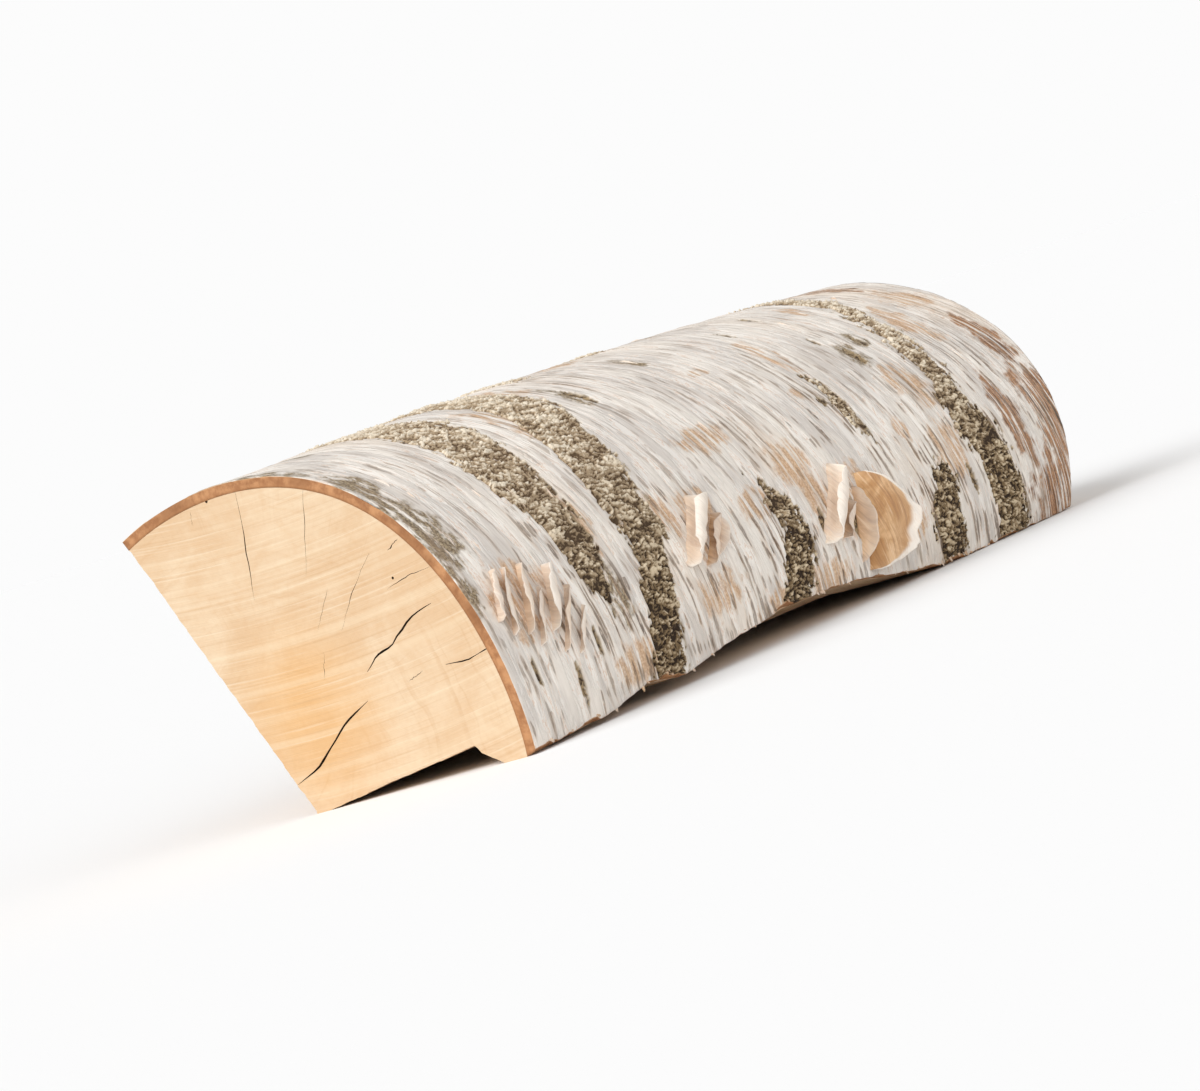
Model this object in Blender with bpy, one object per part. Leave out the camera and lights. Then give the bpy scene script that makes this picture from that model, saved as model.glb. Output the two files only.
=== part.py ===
"""Split birch firewood log: a wedge of wood cleft from a round trunk, with its bark on.

The log lies on one split face. +Y runs along the grain from the near sawn end, which is
square, to the far one, which was sawn at a slant. +X is across the log, and +Z is up. The
origin is the middle of the footprint, on the floor.
"""

import math

import bmesh
import bpy
from mathutils import Vector

# Driving dimensions, in metres and degrees.
FLOOR_LENGTH = 0.338  # along the floor; the log is longer at its top
FAR_CUT_LEAN = 0.37  # the far saw cut leans out by this share of the height
TRUNK_RADIUS = 0.0855
BARK_THICKNESS = 0.0050
BARK_CLEARANCE = 0.0003
PITH_X = -0.03013
PITH_Z = 0.0153  # the pith lies just above the floor face
PITH_SWAY = 0.0020  # the trunk's slight bow, across the log and upwards
PITH_RISE = 0.0030
NEAR_LOBES = 0.0013  # how far the near end is from round
FAR_LOBES = 0.0026
FAR_TAPER = 0.0010
APEX_X = -0.02813  # the ridge where the two split faces meet
TOP_EDGE_ANGLE = 114.6  # where the bark ends at the upper split face, from +X about the pith
TOP_EDGE_TWIST = -5.0  # how far that edge turns by the far end
RIDGE_STRIP = 0.005  # width of the flat strip along the apex
FLOOR_STRIP = 0.008  # width of the flat strip beside the bark, which the log rests on
FLOOR_BEVEL = 0.0065  # width of the slope between that strip and the torn step
FLOOR_STEP = 0.0015  # width of the torn step itself
FLOOR_HOLLOW = 0.0068  # height of the floor face inside the step
STEP_SHARE = 0.62  # how much of the hollow's height is left at the foot of the step
SPLIT_WAVE = 0.0024  # how far the upper split face wanders from a plane by the far end

# Where the bark's skin peels, its solid swells to hold the loose curls: the middle's
# distance from the near end and angle about the pith, half the length, half the angle,
# and the height.
CURLS = (
    (0.026, 17.0, 0.022, 12.0, 0.0040),
    (0.115, 16.0, 0.016, 10.0, 0.0065),
    (0.200, 3.0, 0.030, 14.0, 0.0085),
)

BARK_STATIONS = 33  # lofted stretches along the log
WOOD_STATIONS = 11
ARC_STEPS = 32  # facets round the trunk
FLOOR_STEPS = 6
SPLIT_STEPS = 8

WOOD_COLOUR = (0.80, 0.60, 0.36, 1.0)
BARK_COLOUR = (0.72, 0.67, 0.60, 1.0)


def clear_scene():
    """Removes whatever the file opened with."""
    for obj in list(bpy.data.objects):
        bpy.data.objects.remove(obj, do_unlink=True)


def plain_material(name, colour, roughness):
    """A Principled material of one colour."""
    material = bpy.data.materials.new(name)
    material.use_nodes = True
    shader = material.node_tree.nodes["Principled BSDF"]
    shader.inputs["Base Color"].default_value = colour
    shader.inputs["Roughness"].default_value = roughness
    shader.inputs["Metallic"].default_value = 0.0
    return material


def trunk_radius(angle, along):
    """Outer radius of the bark at an angle in degrees, at a share of the length."""
    near = NEAR_LOBES * math.cos(math.radians(4.2 * (angle - 54)))
    far = FAR_LOBES * math.cos(math.radians(3.2 * (angle - 6))) - FAR_TAPER
    return TRUNK_RADIUS + (1 - along) * near + along * far


def curl_height(angle, along):
    """How far the peeling curls stand off the bark there."""
    height = 0.0
    for middle, middle_angle, half_length, half_angle, top in CURLS:
        away = math.hypot((along * FLOOR_LENGTH - middle) / half_length, (angle - middle_angle) / half_angle)
        if away < 1:
            height += top * math.cos(math.pi / 2 * away) ** 2
    return height


def round_point(share, along, inset):
    """(x, z) on the trunk, from the floor at share 0 to the upper split face at share 1."""
    floor_radius = trunk_radius(-10, along) - inset
    bow = math.sin(math.pi * along)
    pith_z = PITH_Z + PITH_RISE * bow
    start = -math.degrees(math.asin(pith_z / floor_radius))
    angle = start + (TOP_EDGE_ANGLE + TOP_EDGE_TWIST * along - start) * share
    radius = trunk_radius(angle, along) - inset
    if inset == 0:
        radius += curl_height(angle, along)
    x = PITH_X + PITH_SWAY * bow + radius * math.cos(math.radians(angle))
    z = pith_z + radius * math.sin(math.radians(angle))
    return x, 0.0 if share == 0 else z


def trunk_arc(along, inset):
    """The points of the trunk's round side, from the floor up."""
    return [round_point(step / ARC_STEPS, along, inset) for step in range(ARC_STEPS + 1)]


def floor_profile(outer_x, along):
    """Points from the apex to the round side, along the hollowed floor face."""
    hollow = FLOOR_HOLLOW * (1 - 0.5 * along)
    ridge_end = APEX_X + RIDGE_STRIP
    strip_start = outer_x - FLOOR_STRIP
    step_foot = strip_start - FLOOR_BEVEL
    step_top = step_foot - FLOOR_STEP
    points = [(APEX_X, 0.0), (ridge_end, 0.0)]
    for step in range(1, FLOOR_STEPS + 1):
        share = step / FLOOR_STEPS
        points.append((ridge_end + (step_top - ridge_end) * share, hollow * share))
    points += [(step_foot, hollow * STEP_SHARE), (strip_start, 0.0)]
    return points


def split_profile(top, along):
    """Points down the upper split face, between the round side and the apex."""
    run = Vector((APEX_X - top[0], -top[1]))
    outward = Vector((run.y, -run.x)).normalized()
    points = []
    for step in range(1, SPLIT_STEPS):
        share = step / SPLIT_STEPS
        swing = math.sin(math.pi * share) * math.sin(math.tau * (0.7 * share + 0.9 * along) + 0.6)
        point = Vector(top) + run * share + outward * SPLIT_WAVE * along * swing
        points.append((point.x, point.y))
    return points


def wood_section(along):
    """The wood's outline at a share of the length, counter-clockwise seen from the near end."""
    arc = trunk_arc(along, BARK_THICKNESS + BARK_CLEARANCE)
    return floor_profile(arc[0][0], along) + arc + split_profile(arc[-1], along)


def bark_section(along):
    """The bark's outline: out along the floor, up the outside and back down the inside."""
    return trunk_arc(along, 0.0) + trunk_arc(along, BARK_THICKNESS)[::-1]


def overall_length():
    """From the near sawn end to the far cut's top."""
    return FLOOR_LENGTH + FAR_CUT_LEAN * max(z for _, z in trunk_arc(1.0, 0.0))


def loft(name, section, stations, colour, collection):
    """Runs a section along the log, and closes it with the two sawn ends."""
    mesh = bmesh.new()
    near_y = -overall_length() / 2
    rings = []
    for station in range(stations + 1):
        along = station / stations
        ring = [(x, near_y + along * (FLOOR_LENGTH + FAR_CUT_LEAN * z), z) for x, z in section(along)]
        rings.append([mesh.verts.new(point) for point in ring])
    for near, far in zip(rings, rings[1:]):
        for i in range(len(near)):
            mesh.faces.new((near[i - 1], near[i], far[i], far[i - 1]))
    mesh.faces.new(reversed(rings[0]))
    mesh.faces.new(rings[-1])
    bmesh.ops.recalc_face_normals(mesh, faces=mesh.faces)
    data = bpy.data.meshes.new(name)
    mesh.to_mesh(data)
    mesh.free()
    data.shade_smooth()
    data.set_sharp_from_angle(angle=math.radians(20))
    data.materials.append(plain_material("birch_" + name, colour, 0.75))
    obj = bpy.data.objects.new(name, data)
    collection.objects.link(obj)


def main():
    clear_scene()
    collection = bpy.data.collections.new("split_log")
    bpy.context.scene.collection.children.link(collection)
    loft("wood", wood_section, WOOD_STATIONS, WOOD_COLOUR, collection)
    loft("bark", bark_section, BARK_STATIONS, BARK_COLOUR, collection)


main()
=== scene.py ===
"""A split birch firewood log, resting on one cleft face: pale sawn and torn wood, and
white bark with rough corky bands, dark lenticels and curls of peeling skin.

Lengths are metres and angles are degrees about the pith, from +X towards +Z. The bark's
markings, its loose skin, the noise and the cracks are in millimetres instead: y is the
distance from the near end, and arc the distance round the trunk.
"""

import math

import bmesh
import bpy
import numpy as np
from mathutils import Matrix, Vector


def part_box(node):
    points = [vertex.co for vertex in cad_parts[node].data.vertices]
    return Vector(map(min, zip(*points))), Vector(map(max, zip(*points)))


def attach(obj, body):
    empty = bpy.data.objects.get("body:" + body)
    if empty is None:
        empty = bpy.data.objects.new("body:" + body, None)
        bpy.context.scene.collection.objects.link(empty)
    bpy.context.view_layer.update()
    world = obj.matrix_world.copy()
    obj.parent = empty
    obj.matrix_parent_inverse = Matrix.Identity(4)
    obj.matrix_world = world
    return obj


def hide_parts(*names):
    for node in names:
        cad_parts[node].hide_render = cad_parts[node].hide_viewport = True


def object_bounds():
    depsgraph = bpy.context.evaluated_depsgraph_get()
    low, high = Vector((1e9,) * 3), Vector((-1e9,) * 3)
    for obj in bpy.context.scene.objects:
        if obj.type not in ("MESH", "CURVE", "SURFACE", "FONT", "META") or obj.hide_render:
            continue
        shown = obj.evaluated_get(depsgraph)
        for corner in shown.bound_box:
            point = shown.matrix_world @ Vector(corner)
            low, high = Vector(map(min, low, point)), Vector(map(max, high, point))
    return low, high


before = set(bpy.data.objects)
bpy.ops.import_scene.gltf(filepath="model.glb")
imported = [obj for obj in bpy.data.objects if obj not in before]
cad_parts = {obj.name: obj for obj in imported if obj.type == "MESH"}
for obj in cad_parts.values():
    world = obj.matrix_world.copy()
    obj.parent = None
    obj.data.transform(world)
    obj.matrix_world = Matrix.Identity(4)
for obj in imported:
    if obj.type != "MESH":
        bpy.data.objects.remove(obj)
cad_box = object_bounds()
bark_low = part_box("bark")[0]

# The trunk, as the frame has it.
MM = 0.001
NEAR_Y = bark_low.y
FLOOR_LENGTH = 0.338
FAR_CUT_LEAN = 0.37
TRUNK_RADIUS = 0.0855
PITH_X = -0.03013
PITH_Z = 0.0153
PITH_SWAY = 0.0020
PITH_RISE = 0.0030
NEAR_LOBES = 0.0013
FAR_LOBES = 0.0026
FAR_TAPER = 0.0010
APEX_X = -0.02813
TOP_EDGE_ANGLE = 114.6
TOP_EDGE_TWIST = -5.0
MM_PER_DEGREE = TRUNK_RADIUS * math.pi / 180 / MM
LOWER_TEAR = 121  # the seeds that shape the bark's two torn edges
UPPER_TEAR = 141

# The surface that shows lies a little inside the frame's box.
BARK_WALL = 0.0042
SKIN_LEVEL = -1.0  # mm over the trunk's plain radius
SHEET_MARGIN = 0.0003

# ---------------------------------------------------------------- repeatable noise

def lattice(column, row, seed):
    """A repeatable number from 0 to 1 for each whole-number place."""
    mixed = (column * 374761393 + row * 668265263 + seed * 974634777) & 0xFFFFFFFF
    mixed = ((mixed ^ (mixed >> 13)) * 1274126177) & 0xFFFFFFFF
    return ((mixed ^ (mixed >> 16)) & 0xFFFFF) / 0xFFFFF


def smooth_noise(x, y, seed):
    """Soft noise from -1 to 1, one lump to the unit."""
    column, row = np.floor(x).astype(np.int64), np.floor(y).astype(np.int64)
    fx, fy = x - column, y - row
    fx, fy = fx * fx * (3 - 2 * fx), fy * fy * (3 - 2 * fy)
    low = lattice(column, row, seed) * (1 - fx) + lattice(column + 1, row, seed) * fx
    high = lattice(column, row + 1, seed) * (1 - fx) + lattice(column + 1, row + 1, seed) * fx
    return 2 * (low * (1 - fy) + high * fy) - 1


def layered_noise(x, y, seed, layers=4):
    """Noise with finer, weaker layers on top, from about -1 to 1."""
    total, weight = 0.0, 0.0
    for layer in range(layers):
        share = 0.5**layer
        total = total + share * smooth_noise(x * 2**layer, y * 2**layer, seed + layer)
        weight += share
    return total / weight


def cells(x, y, seed):
    """(distance to the nearest cell's middle, to the next one's, that cell's own number)."""
    column, row = np.floor(x).astype(np.int64), np.floor(y).astype(np.int64)
    nearest = np.full(np.shape(x), 9.0)
    second = np.full(np.shape(x), 9.0)
    own = np.zeros(np.shape(x))
    for i in (-1, 0, 1):
        for j in (-1, 0, 1):
            middle_x = column + i + 0.15 + 0.7 * lattice(column + i, row + j, seed)
            middle_y = row + j + 0.15 + 0.7 * lattice(column + i, row + j, seed + 1)
            away = np.hypot(x - middle_x, y - middle_y)
            closer = away < nearest
            second = np.where(closer, nearest, np.minimum(second, away))
            own = np.where(closer, lattice(column + i, row + j, seed + 2), own)
            nearest = np.where(closer, away, nearest)
    return nearest, second, own


def soft_step(value, low, high):
    """0 below low, 1 above high, smooth between."""
    share = np.clip((value - low) / (high - low), 0, 1)
    return share * share * (3 - 2 * share)


# ---------------------------------------------------------------- the trunk's shape

# How far the log's lower corner is worn up from the floor: mm from the near end, mm.
WORN_CORNER = ((0, 0), (38, 1.5), (60, 5.5), (80, 3.0), (105, 6.5), (140, 9.0), (165, 9.0),
               (188, 7.5), (205, 5.0), (225, 2.5), (250, 0))


def trunk_radius(angle, along):
    """Outer radius of the bark."""
    near = NEAR_LOBES * np.cos(np.radians(4.2 * (angle - 54)))
    far = FAR_LOBES * np.cos(np.radians(3.2 * (angle - 6))) - FAR_TAPER
    return TRUNK_RADIUS + (1 - along) * near + along * far


def pith_x(along):
    return PITH_X + PITH_SWAY * np.sin(math.pi * along)


def pith_z(along):
    return PITH_Z + PITH_RISE * np.sin(math.pi * along)


def corner_z(along):
    """Height of the log's lower corner over the floor."""
    places, heights = zip(*WORN_CORNER)
    return np.interp(along * FLOOR_LENGTH / MM, places, heights) * MM


def floor_angle(along, inset):
    """Where the round side ends at the log's lower corner."""
    return np.degrees(np.arcsin((corner_z(along) - pith_z(along)) / (trunk_radius(-10, along) - inset)))


def top_angle(along):
    """Where the round side meets the upper split face."""
    return TOP_EDGE_ANGLE + TOP_EDGE_TWIST * along


def sheared_y(along, z):
    """Place along the grain: the near cut is square and the far one leans out."""
    return NEAR_Y + along * (FLOOR_LENGTH + FAR_CUT_LEAN * z)


def trunk_point(angle, along, height):
    """Points at a height over the bark's outside, as columns x, y and z."""
    radius = trunk_radius(angle, along) + height
    turn = np.radians(angle)
    z = np.maximum(pith_z(along) + radius * np.sin(turn), 0)
    return np.stack([pith_x(along) + radius * np.cos(turn), sheared_y(along, z), z], axis=-1)


def along_at(angle, y):
    """The share of the length that lies y mm from the near end."""
    along = y * MM / FLOOR_LENGTH
    for _ in range(3):
        along = y * MM / (FLOOR_LENGTH + FAR_CUT_LEAN * trunk_point(angle, along, 0)[..., 2])
    return np.clip(along, 0, 1)


def inside_box(points, margin=0.0):
    """Keeps points inside the frame's own box."""
    return np.clip(points, np.array(cad_box[0]) + margin, np.array(cad_box[1]) - margin)


# ---------------------------------------------------------------- mesh helpers

def finished_piece(name, shape, materials, replaced=()):
    """Makes an object from a bmesh, with its materials, riding on the log."""
    data = bpy.data.meshes.new(name)
    shape.to_mesh(data)
    shape.free()
    for material in materials:
        data.materials.append(material)
    piece = bpy.data.objects.new(name, data)
    bpy.context.scene.collection.objects.link(piece)
    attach(piece, "root")
    if replaced:
        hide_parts(*replaced)
    return piece


def read_points(shape):
    return np.array([vert.co for vert in shape.verts])


def write_points(shape, points):
    for vert, point in zip(shape.verts, inside_box(points)):
        vert.co = point


def write_marks(shape, **marks):
    """Keeps one number for each vertex under each name, for the materials to read."""
    for name, values in marks.items():
        layer = shape.verts.layers.float.new(name)
        for vert, value in zip(shape.verts, values):
            vert[layer] = value


def write_unrolled(shape, arc, y, depth):
    """Keeps each vertex's place on the bark as if it were laid flat."""
    layer = shape.verts.layers.float_vector.new("unrolled")
    for vert, place in zip(shape.verts, np.stack([arc * MM, y * MM, depth], axis=-1)):
        vert[layer] = Vector(place)


def in_order(groups):
    """The items of several groups, each item once, in an order that never changes."""
    return list(dict.fromkeys(item for group in groups for item in group))


def flat_slab(across, along, coarse_across, coarse_along, depths):
    """A closed slab one unit square: a fine top at z = 0, a wall down through the given
    depths, and a coarse underside."""
    slab = bmesh.new()
    bmesh.ops.create_grid(slab, x_segments=across, y_segments=along, size=0.5)
    rim = [edge for edge in slab.edges if edge.is_boundary]
    for depth in depths:
        grown = bmesh.ops.extrude_edge_only(slab, edges=rim)["geom"]
        for item in grown:
            if isinstance(item, bmesh.types.BMVert):
                item.co.z = -depth
        rim = [item for item in grown if isinstance(item, bmesh.types.BMEdge) and item.is_boundary]
    inner = bmesh.ops.create_grid(
        slab, x_segments=coarse_across, y_segments=coarse_along,
        size=0.5 - 0.5 / max(across, along), matrix=Matrix.Translation((0, 0, -depths[-1])),
    )["verts"]
    bmesh.ops.reverse_faces(slab, faces=in_order(vert.link_faces for vert in inner))
    inner_edges = in_order(vert.link_edges for vert in inner)
    bmesh.ops.bridge_loops(slab, edges=rim + [edge for edge in inner_edges if edge.is_boundary])
    for vert in slab.verts:
        vert.co.x += 0.5
        vert.co.y += 0.5
    return slab


# ---------------------------------------------------------------- shader helpers

def tone(code):
    """A colour from its six-digit code, as the shader's linear numbers."""
    parts = [int(code[i:i + 2], 16) / 255 for i in (0, 2, 4)]
    linear = [p / 12.92 if p <= 0.04045 else ((p + 0.055) / 1.055) ** 2.4 for p in parts]
    return (*linear, 1.0)


class Shader:
    """Adds nodes to a tree. An input is a value, or the output socket that feeds it."""

    def __init__(self, tree):
        self.tree = tree

    def feed(self, socket, value):
        if isinstance(value, bpy.types.NodeSocket):
            self.tree.links.new(value, socket)
        elif value is not None:
            socket.default_value = value

    def node(self, kind, *inputs, **settings):
        made = self.tree.nodes.new("ShaderNode" + kind)
        for name, value in settings.items():
            setattr(made, name, value)
        for socket, value in zip(made.inputs, inputs):
            self.feed(socket, value)
        return made

    def math(self, operation, a, b=0.5, clamp=False):
        return self.node("Math", a, b, operation=operation, use_clamp=clamp).outputs[0]

    def plus(self, a, b):
        return self.math("ADD", a, b)

    def times(self, a, b):
        return self.math("MULTIPLY", a, b)

    def moved(self, vector, offset):
        return self.node("VectorMath", vector, offset, operation="ADD").outputs[0]

    def parts(self, vector):
        return self.node("SeparateXYZ", vector).outputs

    def mix(self, share, a, b):
        made = self.node("Mix", data_type="RGBA")
        for index, value in ((0, share), (6, a), (7, b)):
            self.feed(made.inputs[index], value)
        return made.outputs[2]

    def step(self, value, low, high, start=0.0, end=1.0):
        made = self.node("MapRange", value, low, high, start, end, interpolation_type="SMOOTHSTEP")
        return made.outputs[0]

    def tint(self, colour, code, value, low, high, share, mask=None):
        """Lays a tone over a colour where a value passes from low to high, up to a share."""
        found = self.step(value, low, high, 0.0, share)
        return self.mix(found if mask is None else self.times(mask, found), colour, tone(code))

    def scaled(self, vector, scale):
        return self.node("Mapping", vector, None, None, scale).outputs[0]

    def noise(self, vector, scale, detail=3.0, roughness=0.55, distortion=0.0):
        made = self.node("TexNoise", vector)
        for name, value in (("Scale", scale), ("Detail", detail), ("Roughness", roughness),
                            ("Distortion", distortion)):
            self.feed(made.inputs[name], value)
        return made.outputs[0]

    def strips(self, unrolled, across, along, detail=3.0, roughness=0.55, distortion=0.0):
        """Noise on the unrolled bark, drawn out round the trunk where along is the larger."""
        stretched = self.scaled(unrolled, (across, along, 1.0))
        return self.noise(stretched, 1.0, detail, roughness, distortion)

    def attribute(self, name, output="Fac"):
        return self.node("Attribute", attribute_name=name).outputs[output]

    def group(self, tree, **inputs):
        made = self.tree.nodes.new("ShaderNodeGroup")
        made.node_tree = tree
        for name, value in inputs.items():
            self.feed(made.inputs[name], value)
        return made.outputs

    def finish(self, principled, colour, height, strength, distance):
        """Gives a material its colour, and a bump from a height."""
        self.feed(principled.inputs["Base Color"], colour)
        bump = self.node("Bump", strength, distance)
        self.feed(bump.inputs["Height"], height)
        self.feed(principled.inputs["Normal"], bump.outputs[0])


def new_group(name, inputs, outputs):
    """(tree, its Shader, the group's own inputs, its output node)."""
    tree = bpy.data.node_groups.new(name, "ShaderNodeTree")
    for socket, kind, default in inputs:
        made = tree.interface.new_socket(socket, in_out="INPUT", socket_type="NodeSocket" + kind)
        if default is not None:
            made.default_value = default
    for socket, kind in outputs:
        tree.interface.new_socket(socket, in_out="OUTPUT", socket_type="NodeSocket" + kind)
    shader = Shader(tree)
    entry = tree.nodes.new("NodeGroupInput")
    leave = tree.nodes.new("NodeGroupOutput")
    return tree, shader, entry.outputs, leave.inputs


def new_material(name, roughness, specular=0.3):
    """(material, its Shader, its Principled node)."""
    material = bpy.data.materials.new(name)
    material.use_nodes = True
    principled = material.node_tree.nodes["Principled BSDF"]
    principled.inputs["Roughness"].default_value = roughness
    principled.inputs["Specular IOR Level"].default_value = specular
    return material, Shader(material.node_tree), principled


def streak_group():
    """Long fine streaks, thin across X and drawn out along Y of the vector."""
    tree, s, entry, leave = new_group(
        "fibre_streaks",
        [("Vector", "Vector", None), ("Across", "Float", 900.0), ("Along", "Float", 20.0)],
        [("Fine", "Float"), ("Broad", "Float")],
    )
    scale = s.node("CombineXYZ", entry["Across"], entry["Along"], entry["Across"]).outputs[0]
    stretched = s.node("VectorMath", entry["Vector"], scale, operation="MULTIPLY").outputs[0]
    s.feed(leave["Fine"], s.noise(stretched, 1.0, 4.0, 0.6))
    s.feed(leave["Broad"], s.noise(stretched, 0.22, 2.0, 0.5, 0.4))
    return tree


def mottle_group():
    """Soft blotches and fine specks."""
    tree, s, entry, leave = new_group(
        "mottle",
        [("Vector", "Vector", None), ("Scale", "Float", 60.0)],
        [("Blotch", "Float"), ("Speck", "Float")],
    )
    fine_scale = s.times(entry["Scale"], 14.0)
    s.feed(leave["Blotch"], s.step(s.noise(entry["Vector"], entry["Scale"], 4.0, 0.6, 0.6), 0.38, 0.64))
    s.feed(leave["Speck"], s.step(s.noise(entry["Vector"], fine_scale, 2.0, 0.5), 0.35, 0.7))
    return tree


def skin_group():
    """The white papery skin, in thin layers that flake in strips round the trunk. The
    vector runs round the trunk in X and along it in Y."""
    tree, s, entry, leave = new_group(
        "papery_skin",
        [("Vector", "Vector", None)],
        [("Color", "Color"), ("Relief", "Float")],
    )
    place = entry["Vector"]
    wide = s.strips(place, 9.0, 16.0, 2.0, 0.5)
    blotch = s.strips(place, 26.0, 60.0, 4.0, 0.6, 0.5)
    flake = s.strips(place, 38.0, 260.0, 5.0, 0.62, 0.5)
    thin = s.strips(place, 55.0, 900.0, 3.0, 0.6, 0.3)
    hair = s.strips(place, 120.0, 2400.0, 2.0, 0.6)
    busy = s.step(s.strips(place, 13.0, 24.0, 2.0, 0.5), 0.42, 0.60, 0.30, 1.0)
    lip = s.times(s.step(flake, 0.550, 0.560), s.step(flake, 0.580, 0.565))
    colour = s.mix(s.step(blotch, 0.38, 0.60), tone("d9d1c9"), tone("f0e8de"))
    colour = s.tint(colour, "ecd9c4", wide, 0.50, 0.68, 0.55)
    colour = s.tint(colour, "faf5ee", flake, 0.50, 0.53, 0.45)
    colour = s.tint(colour, "b8aca0", flake, 0.45, 0.42, 0.30, busy)
    colour = s.mix(s.times(lip, 0.50), colour, tone("cfa27b"))
    colour = s.tint(colour, "a39486", thin, 0.59, 0.67, 0.36, busy)
    colour = s.tint(colour, "fffaf3", thin, 0.40, 0.32, 0.40, busy)
    colour = s.tint(colour, "8d7f74", hair, 0.62, 0.72, 0.28, busy)
    s.feed(leave["Color"], colour)
    s.feed(leave["Relief"], s.plus(s.step(flake, 0.44, 0.56), s.times(thin, 0.7)))
    return tree


STREAKS = streak_group()
MOTTLE = mottle_group()
SKIN = skin_group()


def dashes(s, vector, length, height, share, number):
    """Lens-shaped dashes round the trunk: (mask, soft halo, each dash's own number)."""
    moved = s.moved(vector, (number * 0.37, number * 0.61, 0.0))
    stretched = s.scaled(moved, (1 / length, 1 / height, 0.0))
    cell = s.node("TexVoronoi", stretched, None, 1.0, voronoi_dimensions="2D")
    own = s.node("SeparateColor", cell.outputs["Color"]).outputs
    chosen = s.step(own[0], 1 - share, 1 - share + 0.02)
    reach = s.times(own[1], 0.24)
    inside = s.math("SUBTRACT", s.plus(reach, 0.14), cell.outputs["Distance"])
    mask = s.times(s.step(inside, -0.01, 0.07), chosen)
    halo = s.times(s.step(inside, -0.20, 0.04), chosen)
    return mask, halo, own[2]


def cork_colour(s, unrolled, lump, grain):
    """The corky bands: pale gritty lumps over dark furrows, with painted shade that gives each tone a
    darker copy low on the log.
    """
    # Painted shade: low on the log, where less light falls, each tone below is swapped for a darker
    # copy.
    shaded = s.step(s.parts(unrolled)[0], 0.075, 0.000)
    gritty = s.noise(unrolled, 1500.0, 3.0, 0.6)
    wander = s.noise(unrolled, 110.0, 2.0)
    level = s.plus(lump, s.times(s.math("SUBTRACT", gritty, 0.5), 0.45))
    level = s.plus(level, s.times(s.math("SUBTRACT", wander, 0.5), 0.35))
    level = s.math("SUBTRACT", level, s.times(shaded, 0.08))
    dull = s.mix(shaded, tone("d4c2a8"), tone("ab9475"))
    bright = s.mix(shaded, tone("f0e4d0"), tone("dccaac"))
    middle = s.mix(shaded, tone("ac967a"), tone("7b664a"))
    dark = s.mix(shaded, tone("68533d"), tone("35281d"))
    colour = s.mix(s.step(level, 0.10, 0.30), dark, middle)
    return s.mix(s.step(level, 0.32, 0.62), colour, s.mix(grain, dull, bright))


def streaked(s, unrolled, mask, across, along, low, high):
    """A mask broken into strips round the trunk."""
    return s.times(mask, s.step(s.strips(unrolled, across, along, 4.0, 0.62, 0.5), low, high))


# Four sizes of dark dash: length and width in metres, share of places filled, number, strength.
DASHES = (
    (0.028, 0.0030, 0.26, 1, 0.85), (0.016, 0.0024, 0.24, 4, 0.80),
    (0.009, 0.0022, 0.20, 8, 0.75), (0.045, 0.0016, 0.14, 12, 0.70),
)


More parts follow.
